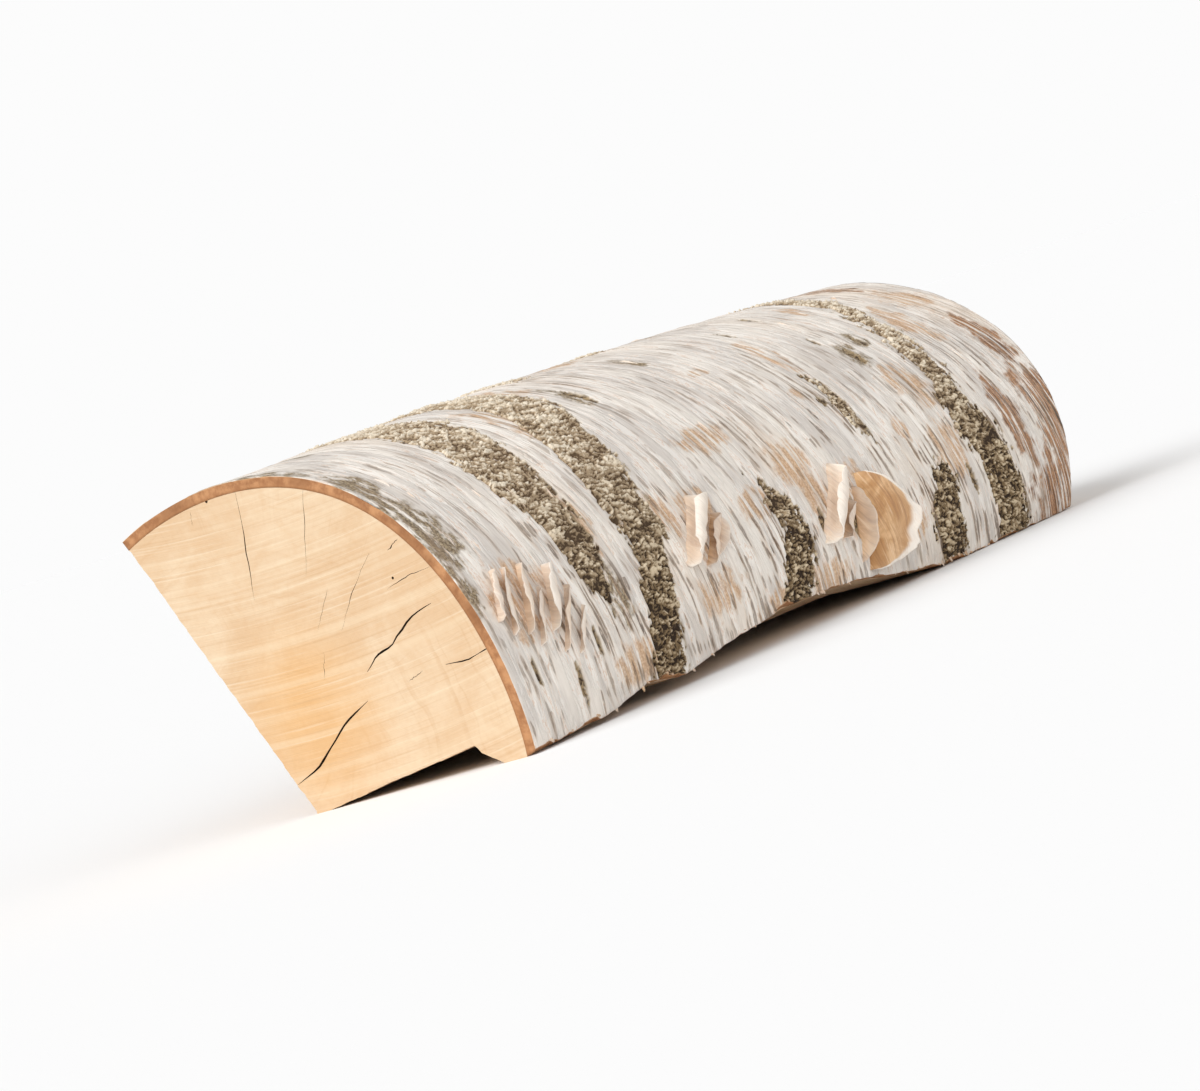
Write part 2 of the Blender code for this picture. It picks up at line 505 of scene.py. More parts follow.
def bark_material():
    """White skin with lenticels and stains, over the orange inner bark at the edges."""
    material, s, principled = new_material("birch_bark", 0.7)
    unrolled = s.attribute("unrolled", "Vector")
    arc, _, depth = s.parts(unrolled)
    skin, height = s.group(SKIN, Vector=unrolled)
    speck = s.group(MOTTLE, Vector=unrolled, Scale=90.0)[1]
    ochre = s.attribute("ochre")
    marks = streaked(s, unrolled, s.attribute("stain"), 60.0, 520.0, 0.40, 0.56)
    skin = s.mix(s.times(marks, 0.80), skin, s.mix(speck, tone("b98a5e"), tone("ddba92")))
    marks = streaked(s, unrolled, ochre, 34.0, 620.0, 0.40, 0.52)
    skin = s.mix(s.times(marks, 0.92), skin, s.mix(speck, tone("8a5f3c"), tone("bb8656")))
    marks = streaked(s, unrolled, ochre, 75.0, 800.0, 0.53, 0.62)
    skin = s.mix(s.times(marks, 0.80), skin, tone("5d4330"))
    marks = streaked(s, unrolled, s.attribute("olive"), 170.0, 420.0, 0.34, 0.56)
    skin = s.mix(marks, skin, s.mix(speck, tone("75644f"), tone("b09e82")))

    warp = s.node("TexNoise", s.scaled(unrolled, (70.0, 70.0, 1.0)), None, 1.0).outputs["Color"]
    bent = s.moved(unrolled, s.scaled(warp, (0.0, 0.0030, 0.0)))
    # Low on the log the dashes and their halos are drawn stronger, so the skin is darker towards the
    # bottom.
    low_side = s.step(arc, 0.075, 0.015)
    crowd = s.step(s.strips(unrolled, 14.0, 26.0, 2.0), 0.40, 0.62, 0.45, 1.0)
    crowd = s.times(crowd, s.plus(s.times(low_side, 0.60), 0.50))
    worn = s.step(s.strips(unrolled, 300.0, 1100.0, 2.0), 0.34, 0.50, 0.25, 1.0)
    for length, wide, share, number, ink in DASHES:
        mask, halo, own = dashes(s, bent, length, wide, share, number)
        skin = s.mix(s.times(s.times(halo, crowd), 0.38), skin, tone("c3a283"))
        dash = s.times(s.times(mask, worn), s.times(crowd, ink))
        skin = s.mix(dash, skin, s.mix(own, tone("4b3d33"), tone("85725f")))
        height = s.math("SUBTRACT", height, s.times(dash, 1.2))

    rough = s.attribute("rough")
    beside_band = streaked(s, unrolled, s.step(rough, 0.02, 0.5), 120.0, 500.0, 0.25, 0.55)
    skin = s.mix(s.times(beside_band, 0.55), skin, tone("b7a27c"))
    pitted = s.strips(unrolled, 420.0, 520.0, 3.0, 0.6, 0.8)
    pit = s.mix(s.step(pitted, 0.40, 0.62), tone("4a3a2b"), tone("a38c69"))
    in_band = streaked(s, unrolled, s.step(rough, 0.15, 0.75), 110.0, 620.0, 0.26, 0.46)
    colour = s.mix(in_band, skin, pit)

    fine, broad = s.group(STREAKS, Vector=unrolled, Across=260.0, Along=900.0)
    inner = s.mix(s.step(fine, 0.35, 0.65), tone("9c6a44"), tone("c28e62"))
    inner = s.tint(inner, "8b5d3a", broad, 0.48, 0.66, 0.6)
    inner = s.tint(inner, "ae7a50", depth, 0.0026, 0.0040, 0.5)
    wobble = s.plus(s.times(broad, 0.0012), depth)
    edge = s.mix(s.step(wobble, 0.0010, 0.0017), tone("c9a885"), inner)
    colour = s.mix(s.step(depth, 0.0002, 0.0005), colour, edge)
    s.finish(principled, colour, height, 0.75, 0.0004)
    return material


def cork_material():
    """The rough bands where the bark has split into corky lumps."""
    material, s, principled = new_material("birch_cork", 0.95)
    unrolled = s.attribute("unrolled", "Vector")
    colour = cork_colour(s, unrolled, s.attribute("lump"), s.attribute("grain"))
    s.finish(principled, colour, s.noise(unrolled, 1500.0, 3.0, 0.6), 0.8, 0.0003)
    return material


def peel_material():
    """The thin loose skin: cream where it catches the light, peach where inner layers show."""
    material, s, principled = new_material("peeled_skin", 0.6)
    unrolled = s.attribute("unrolled", "Vector")
    skin, relief = s.group(SKIN, Vector=unrolled)
    blotch = s.group(MOTTLE, Vector=unrolled, Scale=90.0)[0]
    streaks = s.strips(unrolled, 60.0, 900.0, 3.0, 0.6)
    peach = s.mix(blotch, tone("be8c58"), tone("e3b98a"))
    peach = s.tint(peach, "a07048", streaks, 0.50, 0.66, 0.6)
    peach = s.tint(peach, "f2d5b4", streaks, 0.45, 0.35, 0.5)
    cream = s.mix(0.55, skin, tone("fbf0e2"))
    s.finish(principled, s.mix(s.attribute("white"), peach, cream), relief, 0.6, 0.0003)
    return material


def sawn_material():
    """The sawn end: faint rings about the pith, rays, and the saw's straight marks."""
    material, s, principled = new_material("sawn_birch", 0.75)
    centred = s.moved(s.node("TexCoord").outputs["Object"], (-PITH_X, 0.0, -PITH_Z))
    flat = s.node("VectorMath", centred, (1.0, 0.0, 1.0), operation="MULTIPLY").outputs[0]
    blotch, speck = s.group(MOTTLE, Vector=flat, Scale=38.0)
    fine_blotch = s.group(MOTTLE, Vector=flat, Scale=170.0)[0]
    colour = s.mix(blotch, tone("d6b793"), tone("dec5a5"))
    colour = s.mix(s.times(fine_blotch, 0.18), colour, tone("d4b088"))
    from_pith = s.node("VectorMath", flat, operation="LENGTH").outputs["Value"]
    ringed = s.plus(s.times(s.noise(flat, 45.0, 2.0), 0.010), from_pith)
    ring = s.noise(s.node("CombineXYZ", ringed, 0.0, 0.0).outputs[0], 330.0, 2.0)
    fade = s.noise(flat, 25.0, 2.0)
    ring_share = s.times(s.step(ring, 0.52, 0.70), s.step(fade, 0.40, 0.65, 0.08, 0.42))
    colour = s.mix(ring_share, colour, tone("c8a076"))
    right, _, up = s.parts(flat)
    bearing = s.math("ARCTAN2", up, right)
    spoke = s.node("CombineXYZ", s.times(bearing, 90.0), s.times(from_pith, 35.0), 0.0)
    colour = s.tint(colour, "c8a581", s.noise(spoke.outputs[0], 1.0, 3.0, 0.7), 0.56, 0.74, 0.32)
    heart_place = s.moved(flat, (-0.012, 0.0, -0.012))
    heart = s.step(s.node("VectorMath", heart_place, operation="LENGTH").outputs["Value"], 0.036, 0.004)
    heart_share = s.math("MULTIPLY", heart, s.plus(s.times(fade, 0.9), 0.2), clamp=True)
    colour = s.mix(heart_share, colour, tone("dcaa6c"))
    turned = s.node("Mapping", flat, None, (0.0, math.radians(-2), 0.0), None).outputs[0]
    right, _, up = s.parts(turned)
    arched = s.times(s.times(right, right), 1.2)
    saw_line = s.node("CombineXYZ", s.math("SUBTRACT", up, arched), right, 0.0).outputs[0]
    fine, broad = s.group(STREAKS, Vector=saw_line, Across=1100.0, Along=16.0)
    colour = s.tint(colour, "c29a6e", fine, 0.52, 0.70, 0.34)
    colour = s.tint(colour, "ebdcc2", fine, 0.46, 0.30, 0.40)
    colour = s.tint(colour, "ead8ba", broad, 0.50, 0.70, 0.30)
    colour = s.mix(s.times(speck, 0.08), colour, tone("c8935e"))
    s.finish(principled, colour, s.plus(fine, s.times(broad, 0.6)), 0.5, 0.0003)
    return material


def split_material():
    """The cleft faces: long torn fibres along the log."""
    material, s, principled = new_material("split_birch", 0.8)
    place = s.node("TexCoord").outputs["Object"]
    fine, broad = s.group(STREAKS, Vector=place, Across=1100.0, Along=14.0)
    torn = s.group(STREAKS, Vector=place, Across=2600.0, Along=30.0)[0]
    blotch, speck = s.group(MOTTLE, Vector=s.scaled(place, (1.0, 0.2, 1.0)), Scale=40.0)
    colour = s.mix(blotch, tone("dfb78c"), tone("ebcba8"))
    colour = s.tint(colour, "cda274", broad, 0.45, 0.70, 0.30)
    colour = s.tint(colour, "9c7149", torn, 0.56, 0.66, 0.50)
    colour = s.tint(colour, "fbe9d0", torn, 0.44, 0.34, 0.45)
    colour = s.tint(colour, "b0835a", fine, 0.55, 0.75, 0.45)
    colour = s.tint(colour, "f5dfc4", fine, 0.42, 0.28, 0.4)
    colour = s.mix(s.times(speck, 0.08), colour, tone("a87a4e"))
    s.finish(principled, colour, s.plus(fine, s.times(torn, 0.6)), 0.8, 0.0005)
    return material


def crack_shade_material():
    """The walls inside a drying crack, painted dark brown as the shade deep inside it."""
    material, s, principled = new_material("crack_painted_shade", 0.9)
    place = s.node("TexCoord").outputs["Object"]
    fine = s.group(STREAKS, Vector=place, Across=900.0, Along=60.0)[0]
    s.feed(principled.inputs["Base Color"], s.mix(fine, tone("3a2c1e"), tone("6b543c")))
    return material


BARK = bark_material()
CORK = cork_material()
PEEL = peel_material()
SAWN = sawn_material()
SPLIT = split_material()
CRACK_SHADE = crack_shade_material()


# ---------------------------------------------------------------- the bark's markings

# Rough corky bands: at each angle, the band's nearer and farther side, in mm from the near end.
BANDS = (
    ((9, 57, 59), (14, 53, 61), (18, 50, 64), (30, 50, 67), (40, 46, 69), (50, 48, 71), (60, 50, 76),
     (75, 52, 78), (95, 54, 76), (118, 56, 72)),
    ((-14, 63, 80), (-3, 66, 82), (7, 73, 88), (12, 75, 92), (20, 80, 99), (30, 80, 102), (40, 83, 107),
     (50, 87, 111), (60, 93, 118), (75, 96, 119), (95, 98, 117), (118, 99, 114)),
    ((-14, 286, 305), (-5, 286, 306), (10, 283, 305), (22, 283, 300), (35, 291, 303), (45, 296, 306),
     (55, 301, 312), (63, 308, 318), (80, 312, 322), (105, 316, 322)),
    ((-9, 139, 156), (0, 145, 162), (5, 151, 167), (10, 155, 168), (15, 154, 166), (19, 157, 161)),
    ((-14, 239, 259), (-5, 240, 261), (1, 243, 262), (6, 251, 264), (10, 256, 261)),
    ((20, 228, 231), (30, 225, 233), (41, 229, 232)),
    ((80, 144, 150), (92, 138, 164), (118, 142, 160)),
    ((86, 204, 209), (100, 198, 216), (118, 202, 212)),
)
# Each band's own roughness, from skin just broken to lumps that stand proud.
BAND_RELIEF = (1.0, 1.1, 1.1, 1.0, 1.0, 0.5, 0.9, 0.8)
# How ragged each band's edges are.
BAND_RAGGED = (1.0, 1.0, 1.7, 1.5, 1.4, 1.0, 1.5, 1.5)
# Spots: angle, mm from the near end, half the arc in mm, half the length in mm.
SPOT_MM_PER_DEGREE = 1.5
ROUGH_SPOTS = (
    (47, 282, 5, 2.5), (43, 268, 6, 2.5), (33, 222, 3, 1.6), (5, 275, 7, 1.8), (60, 132, 9, 2.6),
    (52, 262, 4, 1.6), (3, 12, 7, 1.5), (-2, 30, 9, 1.8), (4, 44, 6, 1.2), (7, 178, 8, 2.2),
    (4, 198, 9, 5), (-2, 205, 5, 4), (66, 240, 6, 2), (72, 270, 9, 2.2),
)
OLIVE_SPOTS = (
    (38, 6, 18, 9), (55, 5, 14, 7), (24, 2, 14, 4), (78, 3, 20, 4), (60, 130, 12, 4), (68, 182, 8, 4),
    (43, 268, 9, 6), (47, 282, 8, 5), (95, 240, 18, 7), (12, 60, 12, 6), (84, 30, 12, 4),
)
TAN_SPOTS = (
    (21, 103, 9, 6), (14, 181, 12, 7), (17, 20, 14, 15), (14, 112, 9, 5), (20, 249, 6, 4),
    (52, 230, 14, 6), (53, 190, 3, 6), (70, 295, 8, 7), (37, 215, 4, 3), (60, 350, 14, 14),
    (16, 150, 6, 14), (8, 200, 14, 22), (20, 118, 10, 10), (18, 24, 12, 14), (2, 110, 8, 14),
    (-3, 62, 7, 16), (22, 178, 8, 12), (0, 225, 8, 12), (34, 150, 6, 16), (45, 60, 18, 8),
    (60, 90, 16, 6), (90, 180, 14, 14), (30, 275, 14, 10), (12, 270, 12, 12), (75, 120, 14, 9),
    (28, 62, 12, 10), (50, 320, 18, 10), (-4, 160, 6, 30),
)
OCHRE_SPOTS = (
    (10, 346, 26, 18), (-6, 334, 20, 26), (14, 318, 20, 8), (36, 350, 20, 8), (90, 350, 30, 8),
)


def spot_mask(spots, y, arc, seed):
    """Soft-edged, ragged spots."""
    ragged = 0.55 * layered_noise(arc / 5, y / 5, seed)
    ragged = ragged + 0.25 * layered_noise(arc / 1.5, y / 1.5, seed + 7)
    found = np.zeros(np.shape(y))
    for angle, middle, half_arc, half_length in spots:
        away = np.hypot((arc - angle * SPOT_MM_PER_DEGREE) / half_arc, (y - middle) / half_length)
        found = np.maximum(found, soft_step(1 - away + ragged, 0.0, 0.35))
    return found


def band_edge(y, arc):
    """How far a band's edge wanders, in mm: long tongues round the trunk."""
    tongues = layered_noise(arc / 7, y / 1.5, 31, 3) + 0.6 * layered_noise(arc / 2.2, y / 0.9, 36, 2)
    return 1.8 * layered_noise(arc / 22, y / 10, 11) + 3.2 * tongues


def band_mask(band, angle, y, arc, ragged):
    """How much each place belongs to a rough band, from 0 to 1."""
    angles, nearer, farther = zip(*band)
    low, high = np.interp(angle, angles, nearer), np.interp(angle, angles, farther)
    wander = ragged * band_edge(y, arc)
    inside = np.minimum(y - low, high - y) + wander
    ends = np.minimum(angle - angles[0], angles[-1] - angle) * SPOT_MM_PER_DEGREE + 2 * wander
    return soft_step(np.minimum(inside, ends), -0.5, 1.1)


def cork_lumps(y, arc):
    """(height, grain) of the corky lumps: 0 in a crevice and 1 on top, and a number for each."""
    bent = 0.9 * smooth_noise(arc / 3, y / 3, 71)
    near, far, own = cells(arc / 1.15 + bent + 0.25 * y, y / 2.5 + 0.7 * bent, 85)
    pillow = soft_step(far - near, 0.0, 0.36) * (0.40 + 0.60 * own)
    squiggle = 1 - np.minimum(1, 3.0 * np.abs(layered_noise(arc / 1.6 + bent, y / 3.6 - bent, 81, 2)))
    big = 0.5 + 0.5 * layered_noise(arc / 6, y / 8, 87, 3)
    split = soft_step(np.abs(layered_noise(arc / 4.5 + bent, y / 9, 83, 2)), 0.0, 0.10)
    lump = (0.55 * pillow + 0.55 * squiggle) * (0.55 + 0.65 * big) * (0.45 + 0.55 * split)
    return np.clip(lump + 0.15 * layered_noise(arc / 0.8, y / 1.3, 89, 2), 0, 1), own


def skin_height(y, arc):
    """Height in mm of the plain skin over the trunk's radius."""
    swell = 0.30 * layered_noise(arc / 40, y / 55, 91, 3)
    ripple = 0.10 * layered_noise(arc / 14, y / 2.4, 101, 3)
    flaked = 0.12 * np.round(2.5 * layered_noise(arc / 22, y / 5, 111, 3))
    return SKIN_LEVEL + swell + ripple + flaked


def torn_edge(y, seed):
    """How far the bark's edge is torn back, in mm."""
    plain = y * 0
    bites = soft_step(layered_noise(y / 14, plain, seed + 9), 0.1, 0.5)
    return np.abs(layered_noise(y / 7, plain, seed, 5)) + 1.6 * bites


def on_trunk(run, share, depth):
    """(angle, arc, y) of a place that lies a share of the way up the round side."""
    fade = np.clip(1 - depth / 0.004, 0.2, 1)
    rough_y = run * FLOOR_LENGTH / MM
    start = floor_angle(run, depth) + torn_edge(rough_y, LOWER_TEAR) / MM_PER_DEGREE * fade
    end = top_angle(run) - torn_edge(rough_y, UPPER_TEAR) / MM_PER_DEGREE * fade
    angle = start + (end - start) * share
    y = (trunk_point(angle, run, -depth)[:, 1] - NEAR_Y) / MM
    return angle, angle * MM_PER_DEGREE, y


def finish_smooth(slab):
    bmesh.ops.recalc_face_normals(slab, faces=slab.faces)
    for face in slab.faces:
        face.smooth = True


# Cells of the bark's outside and of its coarser inside, and the depths of its wall's rings.
BARK_CELLS = (210, 390, 30, 52)
BARK_DEPTHS = (0.0004, 0.0009, 0.0016, 0.0026, 0.0034, BARK_WALL)


def make_bark():
    """The whole bark: a slab bent round the trunk, with its sawn ends and torn edges."""
    slab = flat_slab(*BARK_CELLS, BARK_DEPTHS)
    flat = read_points(slab)
    share, run, depth = flat[:, 0], flat[:, 1], -flat[:, 2]
    angle, arc, y = on_trunk(run, share, depth)
    rough = spot_mask(ROUGH_SPOTS, y, arc, 51) * 0.8
    for band, ragged in zip(BANDS, BAND_RAGGED):
        rough = np.maximum(rough, band_mask(band, angle, y, arc, ragged))
    lump = cork_lumps(y, arc)[0]
    surface = np.clip(1 - depth / 0.0012, 0, 1)
    sunk = soft_step(rough, 0.3, 0.9)
    height = (skin_height(y, arc) - sunk + 0.5 * rough * lump) * surface
    write_points(slab, trunk_point(angle, run, height * MM - depth))
    write_unrolled(slab, arc, y, depth)
    write_marks(slab, rough=rough, stain=spot_mask(TAN_SPOTS, y, arc, 161),
                ochre=spot_mask(OCHRE_SPOTS, y, arc, 166), olive=spot_mask(OLIVE_SPOTS, y, arc, 171))
    finish_smooth(slab)
    finished_piece("bark_slab", slab, [BARK], ["bark"])


BAND_MARGIN = 5.0  # mm of buried slab beyond each side of a band
BAND_CELL = (0.36, 0.46)  # mm round the trunk, and along it
BAND_DEPTHS = (0.0008, 0.0016)
LOWEST_BAND_ANGLE = -14
FOOT_ANGLE = -11  # about where the round side meets the floor


def make_cork_band(name, band, relief, ragged):
    """One rough band, as a finely lumped slab set into the skin."""
    angles, nearer, farther = zip(*band)
    tall = (min(angles[-1], top_angle(0.5)) - max(angles[0], FOOT_ANGLE)) * MM_PER_DEGREE
    wide = max(far - near for near, far in zip(nearer, farther)) + 2 * BAND_MARGIN
    across, along = round(tall / BAND_CELL[0]), round(wide / BAND_CELL[1])
    slab = flat_slab(across, along, max(4, across // 10), max(3, along // 10), BAND_DEPTHS)
    share, width, depth = (read_points(slab) * (1, 1, -1)).T
    low, high = max(angles[0], LOWEST_BAND_ANGLE), angles[-1]
    angle = low + (high - low) * share
    y = np.interp(angle, angles, np.add(nearer, farther) / 2) + (width - 0.5) * wide
    run = along_at(angle, y)
    rough_y = run * FLOOR_LENGTH / MM
    start = floor_angle(run, 0) + torn_edge(rough_y, LOWER_TEAR) / MM_PER_DEGREE
    end = top_angle(run) - torn_edge(rough_y, UPPER_TEAR) / MM_PER_DEGREE
    angle = np.clip(angle, start + 0.2, end - 0.2)
    arc = angle * MM_PER_DEGREE
    mask = band_mask(band, angle, y, arc, ragged)
    cells_in = np.minimum(np.minimum(share, 1 - share) * across, np.minimum(width, 1 - width) * along)
    rim = np.clip(cells_in / 2, 0, 1)
    lump, grain = cork_lumps(y, arc)
    surface = np.clip(1 - depth / BAND_DEPTHS[0], 0, 1)
    height = skin_height(y, arc) - 0.35 + 1.35 * relief * lump + (mask * rim - 1) * 1.6
    height = (height * surface - 2.2 * (1 - surface)) * MM - depth * 0.5
    write_points(slab, trunk_point(angle, run, height))
    write_unrolled(slab, arc, y, depth)
    write_marks(slab, lump=lump * (0.4 + 0.6 * mask), grain=grain)
    finish_smooth(slab)
    finished_piece(name, slab, [CORK])


# ---------------------------------------------------------------- the wood

FLOOR_CELLS = 96
ROUND_CELLS = 60
SPLIT_CELLS = 128
WOOD_STATIONS = 110
WOOD_INSET = BARK_WALL + 0.00004

# The floor face: a ridge at the apex and a strip beside the bark touch the floor, and between
# them the wood is torn up to a step.
RIDGE_WIDTH = 0.005
STRIP_WIDTH = 0.008
STEP_WIDTH = 0.0065
STEP_TOP_WIDTH = 0.0015
HOLLOW_DEPTH = 0.0068
STEP_SHARE = 0.62
FLOOR_RELIEF = 0.45  # mm

# The split face: how far it twists, its own set-back and its fibres' height.
SPLIT_TWIST = 0.0024
SPLIT_SETBACK = 0.4  # mm
SPLIT_RELIEF = 2.0  # mm
SPLIT_WIDTH = 102  # mm


def floor_height(x, outer_x, run):
    """Height of the hollowed floor face over the floor."""
    hollow = HOLLOW_DEPTH * (1 - 0.5 * run)
    ridge_end, strip_start = APEX_X + RIDGE_WIDTH, outer_x - STRIP_WIDTH
    foot = strip_start - STEP_WIDTH
    top = foot - STEP_TOP_WIDTH
    rising = hollow * (x - ridge_end) / (top - ridge_end)
    stepping = hollow * (1 - (1 - STEP_SHARE) * (x - top) / (foot - top))
    falling = hollow * STEP_SHARE * (strip_start - x) / (strip_start - foot)
    return np.select(
        [x < ridge_end, x < top, x < foot, x < strip_start],
        [0 * x, rising, stepping, falling], 0 * x,
    )


def fibres(across, y, seed):
    """Torn fibre relief: fine across, long along the log. From about -1 to 1."""
    wave = 0.25 * smooth_noise(across / 20, y / 60, seed + 3)
    fine = layered_noise(across / 1.6 + wave, y / 45, seed, 3)
    broad = layered_noise(across / 7 + wave, y / 110, seed + 5, 2)
    steps = np.round(2.5 * layered_noise(across / 9 + wave, y / 130, seed + 9, 3)) / 2.5
    ridges = 1 - 2 * np.abs(layered_noise(across / 3.2 + wave, y / 70, seed + 13, 3))
    return 0.30 * fine + 0.25 * broad + 0.45 * steps + 0.35 * (ridges - 0.6)


def make_wood():
    """The cleft wedge: a sheet wrapped round the section, with its two sawn ends."""
    around = FLOOR_CELLS + ROUND_CELLS + SPLIT_CELLS
    body = bmesh.new()
    bmesh.ops.create_grid(body, x_segments=around, y_segments=WOOD_STATIONS, size=0.5)
    flat = read_points(body)
    cell = np.round((flat[:, 0] + 0.5) * around).astype(int) % around
    run = flat[:, 1] + 0.5
    y = run * FLOOR_LENGTH / MM
    start, end = floor_angle(run, WOOD_INSET), top_angle(run)
    outer = trunk_point(start, run, -WOOD_INSET)
    corner = trunk_point(end, run, -WOOD_INSET)

    share = np.clip(cell / FLOOR_CELLS, 0, 1)
    floor_x = APEX_X + (outer[:, 0] - APEX_X) * share
    edge_fade = np.clip(np.minimum(cell, FLOOR_CELLS - cell) / 4, 0, 1)
    lifted = outer[:, 2] * soft_step(share, 0.45, 0.98)
    base = np.maximum(floor_height(floor_x, outer[:, 0], run), lifted)
    relief = FLOOR_RELIEF * MM * np.maximum(fibres(floor_x / MM, y, 201) + 0.35, -0.2)
    floor_z = np.maximum(base + relief * np.clip(base / 0.0012, 0, 1) * edge_fade, 0)

    share = np.clip((cell - FLOOR_CELLS) / ROUND_CELLS, 0, 1)
    round_side = trunk_point(start + (end - start) * share, run, -WOOD_INSET)

    share = np.clip((cell - FLOOR_CELLS - ROUND_CELLS) / SPLIT_CELLS, 0, 1)
    apex = np.stack([np.full(len(run), APEX_X), corner[:, 1], np.zeros(len(run))], axis=-1)
    line = apex - corner
    outward = np.stack([line[:, 2], np.zeros(len(run)), -line[:, 0]], axis=-1)
    outward /= np.linalg.norm(outward, axis=1)[:, None]
    swing = np.sin(math.pi * share) * np.sin(math.tau * (0.7 * share + 0.9 * run) + 0.6)
    torn = np.clip(np.sin(math.pi * share) * 5, 0, 1)
    torn = torn * (0.25 + 0.75 * soft_step(np.minimum(run, 1 - run), 0, 0.06))
    relief = SPLIT_RELIEF * MM * fibres(share * SPLIT_WIDTH, y, 231) * torn
    bulge = SPLIT_TWIST * run * swing - SPLIT_SETBACK * MM + relief
    split_side = corner + line * share[:, None] + outward * bulge[:, None]

    points = round_side.copy()
    on_floor = cell <= FLOOR_CELLS
    points[on_floor] = np.stack([floor_x, 0 * run, floor_z], axis=-1)[on_floor]
    on_split = cell > FLOOR_CELLS + ROUND_CELLS
    points[on_split] = split_side[on_split]
    points[:, 1] = sheared_y(run, points[:, 2])
    ends = body.verts.layers.float.new("run")
    for vert, value in zip(body.verts, run):
        vert[ends] = value
    write_points(body, points)
    bmesh.ops.remove_doubles(body, verts=body.verts, dist=1e-6)
    for face in body.faces:
        face.smooth = True
        face.material_index = 1
    for end_run in (0.0, 1.0):
        rim = [edge for edge in body.edges if edge.is_boundary
               and all(abs(vert[ends] - end_run) < 1e-6 for vert in edge.verts)]
        for face in bmesh.ops.contextual_create(body, geom=rim)["faces"]:
            face.material_index = 0
            for edge in face.edges:
                edge.smooth = False
    bmesh.ops.recalc_face_normals(body, faces=body.faces)
    # The third material is painted shade, for the walls of the cracks cut below.
    piece = finished_piece("cleft_wood", body, [SAWN, SPLIT, CRACK_SHADE], ["wood"])
    cut_cracks(piece)


# Drying cracks in the near end: the widest place and the depth in mm, then the crack's line
# as angles and distances in mm from the pith.
NEAR_CRACKS = (
    (0.42, 9, ((82, 83), (82, 72), (83, 59), (84, 49))),
    (0.26, 6, ((65, 83), (64, 70), (63, 57))),
    (0.75, 12, ((27, 73), (29, 64), (28, 54), (30, 47), (29, 41))),
    (0.50, 9, ((12, 83), (12, 73), (14, 65))),
    (0.25, 4, ((16, 57), (16, 51))),
    (0.85, 14, ((20, 35), (19, 24), (9, 15), (-22, 8), (-107, 6))),
    (0.45, 7, ((41, 81), (42, 76))),
    (0.26, 5, ((32, 81), (35, 74), (38, 66))),
    (0.24, 5, ((46, 72), (47, 58), (46, 46))),
    (0.22, 4, ((55, 56), (56, 42))),
    (0.22, 4, ((51, 37), (46, 29))),
    (0.24, 4, ((95, 79), (96, 75))),
)
# The same for the far end.
FAR_CRACKS = (
    (0.60, 10, ((76, 80), (75, 66), (77, 52))),
    (0.45, 8, ((41, 81), (43, 68), (42, 58))),
    (0.80, 12, ((18, 62), (20, 48), (17, 33), (24, 20))),
    (0.30, 6, ((100, 79), (99, 66))),
    (0.35, 6, ((4, 80), (5, 70))),
)
# Pin holes in the near end: angle, and distance and radius in mm.
PIN_HOLES = ((90, 80, 0.7), (38, 70, 0.6), (236, 5, 0.9))
CRACK_STEPS = 14


def pith_point(angle, distance, run):
    """A place in the section, by its angle and distance in mm from the pith."""
    turn = np.radians(angle)
    return pith_x(run) + distance * MM * np.cos(turn), pith_z(run) + distance * MM * np.sin(turn)


def crack_cutter(cutters, crack, run, inward, seed):
    """A thin wedge along a crack's line, from just outside the sawn end into the wood."""
    widest, depth, line = crack
    angles, distances = zip(*line)
    xs, zs = pith_point(np.array(angles, float), np.array(distances, float), run)
    share = np.linspace(0, 1, CRACK_STEPS + 1)
    knots = np.linspace(0, 1, len(line))
    x, z = np.interp(share, knots, xs), np.interp(share, knots, zs)
    along = np.stack([np.gradient(x), np.gradient(z)], axis=-1)
    along /= np.linalg.norm(along, axis=1)[:, None]
    jitter = 0.22 * MM * smooth_noise(share * 9, share * 0, seed)
    half = 0.5 * widest * MM * np.sin(math.pi * np.clip(share, 0.02, 0.98)) ** 0.6
    half *= 0.75 + 0.45 * smooth_noise(share * 6, share * 0 + 5, seed)
    end_y = sheared_y(run, z)
    made = bmesh.ops.create_grid(cutters, x_segments=CRACK_STEPS, y_segments=1, size=0.5)["verts"]
    rows = []
    for vert in made:
        step = round((vert.co.x + 0.5) * CRACK_STEPS)
        side = 1 if vert.co.y > 0 else -1
        rows.append((vert, step, side))

    def place(vert, step, side, beyond, narrow):
        offset = jitter[step] + side * half[step] * narrow
        vert.co = (x[step] - along[step][1] * offset, end_y[step] + beyond,
                   z[step] + along[step][0] * offset)

    faces = in_order(vert.link_faces for vert in made)
    grown = bmesh.ops.extrude_face_region(cutters, geom=faces)["geom"]
    deep = [item for item in grown if isinstance(item, bmesh.types.BMVert)]
    by_place = {(round(vert.co.x, 5), round(vert.co.y, 5)): (step, side) for vert, step, side in rows}
    for vert in deep:
        step, side = by_place[(round(vert.co.x, 5), round(vert.co.y, 5))]
        reach = depth * MM * (0.3 + 0.7 * math.sin(math.pi * step / CRACK_STEPS))
        place(vert, step, side, inward * reach, 0.3)
    for vert, step, side in rows:
        place(vert, step, side, -inward * MM, 1.0)


